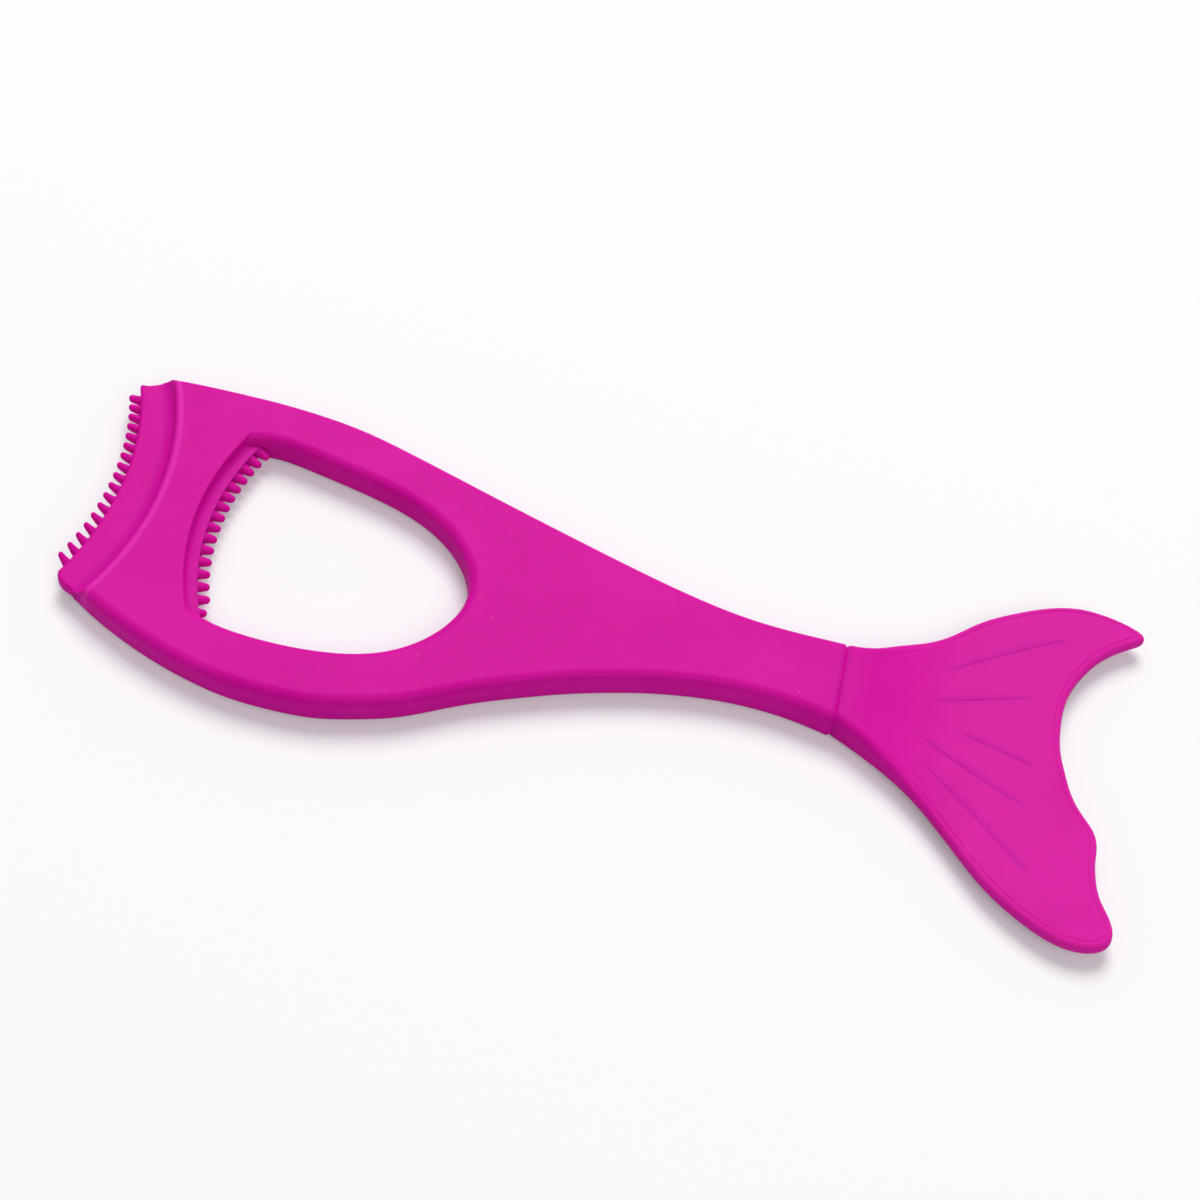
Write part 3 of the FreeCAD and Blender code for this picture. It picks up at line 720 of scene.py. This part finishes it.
# The outline as shares: the far side, the far fluke's tip, its inner edge, the near fluke's
# inner edge with its tip, and the near side.
FIN_WAYS = [
    [(0.090, 0.312), (0.172, 0.381), (0.257, 0.456), (0.347, 0.567), (0.437, 0.710),
     (0.545, 0.834), (0.650, 0.927), (0.794, 0.986)],
    [(0.794, 0.986), (0.905, 0.961), (0.968, 0.924), (1.0, 0.871)],
    [(1.0, 0.871), (0.972, 0.812), (0.918, 0.744), (0.852, 0.630), (0.796, 0.476),
     (0.761, 0.324), (0.746, 0.100)],
    [(0.756, -0.070), (0.777, -0.166), (0.805, -0.267), (0.850, -0.359), (0.886, -0.422),
     (0.901, -0.492), (0.901, -0.570), (0.907, -0.650), (0.924, -0.735), (0.955, -0.810),
     (0.974, -0.880), (0.966, -0.945), (0.930, -0.983), (0.857, -1.0)],
    [(0.857, -1.0), (0.768, -0.976), (0.669, -0.912), (0.555, -0.807), (0.448, -0.667),
     (0.338, -0.518), (0.219, -0.382), (0.105, -0.282)],
]


def on_fin(shares):
    """Points of the fin's outline from their shares of its length and of each half's width."""
    return [(a * FIN_REACH, o * (FIN_FAR if o > 0 else FIN_NEAR)) for a, o in shares]


fin_ways = [on_fin(shares) for shares in FIN_WAYS]
fin_line = joined(
    smooth_way([(GAP_HALF, WRIST_HALF)] + fin_ways[0], None, (1, 0)),
    smooth_way(fin_ways[1], (1, 0), (0, -1)),
    smooth_way(fin_ways[2], (0, -1), (0, -1)),
    smooth_way(fin_ways[2][-1:] + fin_ways[3], (0, -1), (-1, 0)),
    smooth_way(fin_ways[4] + [(GAP_HALF, -WRIST_HALF)], (-1, 0)),
)


def fin_half(x):
    """Half the fin's thickness at x, thinning smoothly from the wrist."""
    share = progress(x, GAP_HALF, THINNING)
    return MIDDLE + (FIN_HALF - MIDDLE) * (3 * share**2 - 2 * share**3)


fin_line = with_groove_stations(with_groove_stations(fin_line, True), False)
fin_line = near_groove(fin_line)[::-1]
fin_in = inward(fin_line)
square_at_wall(fin_line, fin_in)

fin_reach = within_middle(fin_line, fin_in)
# Beside the wrist nothing comes in from the other side.
WRIST_PART, WRIST_REACH = 4, 9
fin_reach[fin_line[:, 0] < WRIST_PART] = WRIST_REACH
# The fin's edges are rounder at the wrist than on the flukes. A fine line is pressed in along
# them, which starts further out on the far side.
FLUKE_SOFT, SOFT_FROM = 0.7, 2
LINE_IN, LINE_HALF, LINE_DEPTH = 0.85, 0.22, 0.09
LINE_FAR_START, LINE_NEAR_START, LINE_FADE = 7, 4.5, 5
FIN_OFFSETS = [0.0, 0.02, 0.07, 0.15, 0.26, 0.38, 0.5, 0.6, 0.66, 0.72, 0.78, 0.85, 0.92, 0.98,
               1.04, 1.1, 1.25, 1.4]


def fin_rise(x, y, offset):
    """Height of the fin's upper face above its middle plane."""
    rise = fin_half(x)
    radius = ROUND + (FLUKE_SOFT - ROUND) * progress(x, SOFT_FROM, THINNING)
    if offset < radius:
        rise -= radius - math.sqrt(radius**2 - (radius - offset) ** 2)
    line_start = LINE_FAR_START if y > 0 else LINE_NEAR_START
    fade = progress(x, line_start, line_start + LINE_FADE)
    gap = abs(offset - LINE_IN) / LINE_HALF
    if gap < 1:
        rise -= LINE_DEPTH * fade * (0.5 + 0.5 * math.cos(math.pi * gap))
    return rise - wrist_drop(x - GAP_HALF)


def fin_ring(offset, side):
    """The fin's outline moved in by an offset, on the upper or lower side."""
    ring = []
    for (x, y), (in_x, in_y), most in zip(fin_line, fin_in, fin_reach):
        inset = min(offset, most)
        px, py = x + in_x * inset, y + in_y * inset
        ring.append((px, py, MIDDLE + side * fin_rise(x, y, inset)))
    return ring


# Where the fin thins, its two large faces get edges across them and are set to its thickness.
CUTS_FROM, CUTS, FLAT_AREA, FLAT_TURN = 1.0, 25, 0.9, 0.9
rings = [fin_ring(offset, -1) for offset in FIN_OFFSETS[::-1]]
rings += [fin_ring(offset, 1) for offset in FIN_OFFSETS]
bm = shell_from_rings(rings)
cut_across(bm, [GAP_HALF + EDGE_SOFT * s for s in WALL_STEPS])
cut_across(bm, np.linspace(CUTS_FROM, THINNING, CUTS))
flats = [f for f in bm.faces if f.calc_area() > FLAT_AREA and abs(f.normal.z) > FLAT_TURN]
for vert in {v for f in flats for v in f.verts}:
    side = math.copysign(1, vert.co.z - MIDDLE)
    vert.co.z = MIDDLE + side * (fin_half(vert.co.x) - wrist_drop(vert.co.x - GAP_HALF))
fin = object_from(bm, "tail_fin_skin")
finish_mesh(fin, sharp=40)

# Five raised rays, each a low soft ridge that tapers to both ends.
RAYS = [
    [(11.6, 5.6), (15.8, 8.6), (20.4, 11.6), (25.5, 14.3)],
    [(11.0, 1.2), (14.6, 2.5), (18.2, 3.7), (21.8, 4.7)],
    [(14.4, -2.3), (17.2, -2.9), (20.0, -3.6), (22.7, -4.5)],
    [(10.4, -4.5), (14.4, -6.3), (18.4, -8.2), (22.4, -10.1)],
    [(10.6, -7.7), (15.0, -11.0), (19.4, -14.7), (23.6, -18.5)],
]
# A ray's half width and height, and where its crest stands as a share of the half width.
RAY_HALF, RAY_HIGH, RAY_CREST, RAY_STEPS = 0.4, 0.09, -0.15, 13
# Its rims lie just under the fin's face, and a narrower foot lies deeper.
RAY_RIM_SUNK, RAY_FOOT_SUNK, RAY_FOOT = 0.012, 0.15, 0.8
# Its ends stop short of a point by this share of its length, and it is full soon after them.
RAY_TIP, RAY_FULLNESS = 0.004, 0.45


def ray_section(spot, aside, swell):
    """A ridge with its crest a little to one side, and a foot sunk in the fin's face."""
    ring = []
    for across in np.linspace(-1, 1, RAY_STEPS):
        slope_width = 1 - RAY_CREST if across > RAY_CREST else 1 + RAY_CREST
        bell = 0.5 + 0.5 * math.cos(math.pi * ((across - RAY_CREST) / slope_width))
        x, y = spot + aside * across * RAY_HALF * swell
        ring.append((x, y, MIDDLE + fin_half(x) - RAY_RIM_SUNK + RAY_HIGH * bell * swell))
    for across in (RAY_FOOT, -RAY_FOOT):
        x, y = spot + aside * across * RAY_HALF * swell
        ring.append((x, y, MIDDLE + fin_half(x) - RAY_FOOT_SUNK))
    return ring


ray_bm = bmesh.new()
for points in RAYS:
    way = smooth_way(points, spacing=0.25)
    aside = inward(way)
    rings = []
    for index, spot in enumerate(way):
        share = min(max(index / (len(way) - 1), RAY_TIP), 1 - RAY_TIP)
        rings.append(ray_section(spot, aside[index], math.sin(math.pi * share) ** RAY_FULLNESS))
    add_to(ray_bm, shell_from_rings(rings))
rays = object_from(ray_bm, "fin_ray_ridges")
finish_small(rays)

# The neck.

# How far it is drawn in at each distance from the groove's middle: a shallow groove, and past
# its walls the ends that are sunk in the handle and in the fin.
GROOVE_HALF = [(0.0, 0.24), (0.06, 0.22), (0.12, 0.15), (0.17, 0.08), (0.23, 0.04), (0.41, 0.04),
               (0.46, 0.3), (0.9, 0.42)]
CORNER_STEPS = 7
GROOVE_PLAN = [(-x, depth) for x, depth in GROOVE_HALF[:0:-1]] + GROOVE_HALF


def neck_ring(x, depth):
    """A rounded section across the wrist, drawn in by the depth."""
    ring = []
    radius = ROUND - depth
    for side_y, side_z, start in ((1, 1, 0), (-1, 1, 90), (-1, -1, 180), (1, -1, 270)):
        for turn in np.radians(np.linspace(start, start + 90, CORNER_STEPS)):
            y = side_y * (WRIST_HALF - ROUND) + radius * math.cos(turn)
            z = MIDDLE + side_z * (MIDDLE - ROUND) + radius * math.sin(turn)
            ring.append((x, y, z))
    return ring


neck_rings = [neck_ring(x, depth) for x, depth in GROOVE_PLAN]
neck = object_from(shell_from_rings(neck_rings), "wrist_web")
finish_mesh(neck)

# Silicone.


def spread(tree, value, taken=(0, 1), given=(0, 1)):
    """A value brought from one range to another and held within it."""
    node = tree.nodes.new("ShaderNodeMapRange")
    ends = ("From Min", "From Max", "To Min", "To Max")
    for name, number in zip(ends, (*taken, *given)):
        node.inputs[name].default_value = number
    tree.links.new(value, node.inputs["Value"])
    return node.outputs["Result"]


def mixed(tree, factor, under, over, blend="MIX"):
    """Two colours mixed by a factor. Each of the three is a value or another node's output."""
    node = tree.nodes.new("ShaderNodeMix")
    node.data_type = "RGBA"
    node.blend_type = blend
    for name, given in (("Factor", factor), ("A", under), ("B", over)):
        if isinstance(given, bpy.types.NodeSocket):
            tree.links.new(given, node.inputs[name])
        else:
            node.inputs[name].default_value = given
    return node.outputs["Result"]


def noise(tree, place, scale, detail, roughness=0.5):
    """Soft random values over the object, always the same ones."""
    node = tree.nodes.new("ShaderNodeTexNoise")
    node.inputs["Scale"].default_value = scale
    node.inputs["Detail"].default_value = detail
    node.inputs["Roughness"].default_value = roughness
    tree.links.new(place, node.inputs["Vector"])
    return node.outputs["Fac"]


def ramp(tree, factor, low, high):
    """A colour that runs from a low stop to a high one, each a position and a colour."""
    node = tree.nodes.new("ShaderNodeValToRGB")
    for element, (position, colour) in zip(node.color_ramp.elements, (low, high)):
        element.position = position
        element.color = colour
    tree.links.new(factor, node.inputs["Fac"])
    return node.outputs["Color"]


BLACK, WHITE = (0, 0, 0, 1), (1, 1, 1, 1)
MAGENTA_DEEP, MAGENTA_LIGHT = (0.61, 0.003, 0.315, 1), (0.65, 0.006, 0.34, 1)
DUST, CREST_PAINTED_HIGHLIGHT = (0.74, 0.09, 0.46, 1), (0.72, 0.03, 0.42, 1)
SHINE_THROUGH_PAINT = (0.035, 0.01, 0.025, 1)
# The painted highlight on the crest of the ledge: how far it reaches either way from the ledge's
# radius, and its strength at shares of its width.
HIGHLIGHT_INSIDE, HIGHLIGHT_OUTSIDE = 0.7, 1.5
HIGHLIGHT_STRENGTH = [(0.3, 0.05), (0.5, 0.8), (0.56, 0.8), (0.76, 0.05)]
# Painted light, standing for white shining through the thin silicone, grows between these
# distances from the groove.
THIN_START, THIN_END = 4, 18


def dust_specks(tree, place):
    """White where one of a few small specks of dust lies, black elsewhere."""
    specks = tree.nodes.new("ShaderNodeTexVoronoi")
    specks.inputs["Scale"].default_value = 420
    tree.links.new(place, specks.inputs["Vector"])
    dots = ramp(tree, specks.outputs["Distance"], (0.03, WHITE), (0.06, BLACK))
    few = ramp(tree, specks.outputs["Color"], (0.70, BLACK), (0.71, WHITE))
    return mixed(tree, 1, dots, few, "MULTIPLY")


def painted_crest_highlight(tree, place):
    """How much painted highlight the crest of the ledge shows, from 0 to 1."""
    plan = tree.nodes.new("ShaderNodeVectorMath")
    plan.operation = "MULTIPLY"
    tree.links.new(place, plan.inputs[0])
    plan.inputs[1].default_value = (1, 1, 0)
    from_ledge = tree.nodes.new("ShaderNodeVectorMath")
    from_ledge.operation = "DISTANCE"
    tree.links.new(plan.outputs["Vector"], from_ledge.inputs[0])
    ledge = at(*LEDGE_CENTRE, 0)
    from_ledge.inputs[1].default_value = (ledge.x, ledge.y, 0)
    edges = (LEDGE_RADIUS - HIGHLIGHT_INSIDE) * MM, (LEDGE_RADIUS + HIGHLIGHT_OUTSIDE) * MM
    crest = tree.nodes.new("ShaderNodeFloatCurve")
    points = crest.mapping.curves[0].points
    points[0].location, points[1].location = (0, 0), (1, 0)
    for spot in HIGHLIGHT_STRENGTH:
        points.new(*spot)
    crest.mapping.update()
    tree.links.new(spread(tree, from_ledge.outputs["Value"], edges), crest.inputs["Value"])
    return crest.outputs["Value"]


def painted_shine_through(tree, place):
    """0 at the wrist to 1 on the thin fin, lightened by painted light for white shining through.
    """
    apart = tree.nodes.new("ShaderNodeSeparateXYZ")
    tree.links.new(place, apart.inputs["Vector"])
    return spread(tree, apart.outputs["X"], (at(THIN_START, 0, 0).x, at(THIN_END, 0, 0).x))


def silicone():
    """Matt magenta silicone: faint mottling, a fine dry grain, a few specks of dust,
    a painted highlight on the ledge's crest and painted light on the thin fin.
    """
    material = bpy.data.materials.new("matt_magenta_silicone")
    material.use_nodes = True
    tree = material.node_tree
    shader = tree.nodes["Principled BSDF"]
    shader.inputs["IOR"].default_value = 1.42
    shader.inputs["Specular IOR Level"].default_value = 0.05
    shader.inputs["Subsurface Weight"].default_value = 0.5
    shader.inputs["Subsurface Radius"].default_value = (1.0, 0.2, 0.6)
    shader.inputs["Subsurface Scale"].default_value = 0.001
    place = tree.nodes.new("ShaderNodeTexCoord").outputs["Object"]
    clouds = noise(tree, place, scale=90, detail=3)
    mottle = ramp(tree, clouds, (0.32, MAGENTA_DEEP), (0.68, MAGENTA_LIGHT))
    colour = mixed(tree, dust_specks(tree, place), mottle, DUST)
    # A painted highlight lightens the colour along the ledge's crest.
    colour = mixed(tree, painted_crest_highlight(tree, place), colour, CREST_PAINTED_HIGHLIGHT)
    # Painted light lightens the thin fin, as if white shone through it.
    colour = mixed(tree, painted_shine_through(tree, place), colour, SHINE_THROUGH_PAINT, "ADD")
    tree.links.new(colour, shader.inputs["Base Color"])
    grain = noise(tree, place, scale=700, detail=4, roughness=0.6)
    tree.links.new(spread(tree, grain, given=(0.38, 0.5)), shader.inputs["Roughness"])
    bump = tree.nodes.new("ShaderNodeBump")
    bump.inputs["Strength"].default_value = 0.12
    bump.inputs["Distance"].default_value = 0.00006
    fine_grain = noise(tree, place, scale=2600, detail=3, roughness=0.6)
    tree.links.new(fine_grain, bump.inputs["Height"])
    tree.links.new(bump.outputs["Normal"], shader.inputs["Normal"])
    return material


finish = silicone()
PLACES = [
    (handle, "handle", ["handle_frame"]),
    (outer_blade, "handle", ["outer_comb_blade"]),
    (outer_teeth, "handle", ["outer_comb_teeth"]),
    (inner_blade, "handle", ["inner_comb_blade"]),
    (inner_teeth, "handle", ["inner_comb_teeth"]),
    (fin, "fin", ["tail_fin", "fin_edge_lip"]),
    (rays, "fin", ["fin_rays"]),
]
for piece, body, nodes in PLACES:
    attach(piece, body)
    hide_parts(*nodes)
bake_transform(neck)
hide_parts("wrist_neck")
for piece in [row[0] for row in PLACES] + [neck]:
    piece.data.materials.clear()
    piece.data.materials.append(finish)

# The studio.

ROOM_LIGHT, ROOM_SEEN = 0.32, 1.0
PAPER, PAPER_GLOW, GLOW_TINT = (0.735, 0.73, 0.745, 1), 0.185, (0.983, 0.965, 1, 1)
TABLE_HALF = 1.5


def as_seen(tree):
    """1 for what the camera sees, straight or through something clear, and 0 for light that
    falls on other things."""
    paths = tree.nodes.new("ShaderNodeLightPath")
    either = tree.nodes.new("ShaderNodeMath")
    either.operation = "MAXIMUM"
    tree.links.new(paths.outputs["Is Camera Ray"], either.inputs[0])
    tree.links.new(paths.outputs["Is Transmission Ray"], either.inputs[1])
    return either.outputs["Value"]


world = bpy.data.worlds.new("white_room")
bpy.context.scene.world = world
world.use_nodes = True
tree = world.node_tree
back = tree.nodes["Background"]
strength = spread(tree, as_seen(tree), given=(ROOM_LIGHT, ROOM_SEEN))
tree.links.new(strength, back.inputs["Strength"])
back.inputs["Color"].default_value = WHITE

bm = bmesh.new()
bmesh.ops.create_grid(bm, x_segments=1, y_segments=1, size=TABLE_HALF)
floor = object_from(bm, "table_top", smooth=False)
paper = bpy.data.materials.new("white_paper")
paper.use_nodes = True
tree = paper.node_tree
paper_shader = tree.nodes["Principled BSDF"]
paper_shader.inputs["Base Color"].default_value = PAPER
paper_shader.inputs["Roughness"].default_value = 0.9
paper_shader.inputs["Specular IOR Level"].default_value = 0.1
glow = spread(tree, as_seen(tree), given=(0.0, PAPER_GLOW))
tree.links.new(glow, paper_shader.inputs["Emission Strength"])
paper_shader.inputs["Emission Color"].default_value = GLOW_TINT
floor.data.materials.append(paper)


def lamp(name, size, power, location):
    """A round softbox that looks at the middle of the frame."""
    light = bpy.data.lights.new(name, "AREA")
    light.shape = "DISK"
    light.size = size
    light.energy = power
    holder = bpy.data.objects.new(name, light)
    bpy.context.scene.collection.objects.link(holder)
    holder.location = location
    holder.rotation_euler = (-Vector(location)).to_track_quat("-Z", "Y").to_euler()


lamp("far_softbox", size=1.5, power=43.0, location=(-0.2, 1.35, 1.9))
lamp("near_fill", size=1.2, power=9.0, location=(0.7, -1.1, 1.4))

# The camera's place and turn were worked out from the tool's outline in the photograph.
CAMERA_SPOT = (0.00703, -0.15379, 0.21587)
CAMERA_RIGHT = (0.97237, 0.20323, 0.11483)
CAMERA_UP = (-0.23132, 0.77298, 0.59076)
CAMERA_BACK = (0.03130, -0.60100, 0.79864)
camera_data = bpy.data.cameras.new("front_camera")
camera_data.lens = 69.73
camera_data.sensor_width = 36
camera_data.clip_start = 0.01
camera_data.clip_end = 10
camera = bpy.data.objects.new("front_camera", camera_data)
bpy.context.scene.collection.objects.link(camera)
turn = Matrix((CAMERA_RIGHT, CAMERA_UP, CAMERA_BACK)).transposed().to_4x4()
camera.matrix_world = Matrix.Translation(CAMERA_SPOT) @ turn
bpy.context.scene.camera = camera
bpy.context.scene.view_settings.view_transform = "Standard"
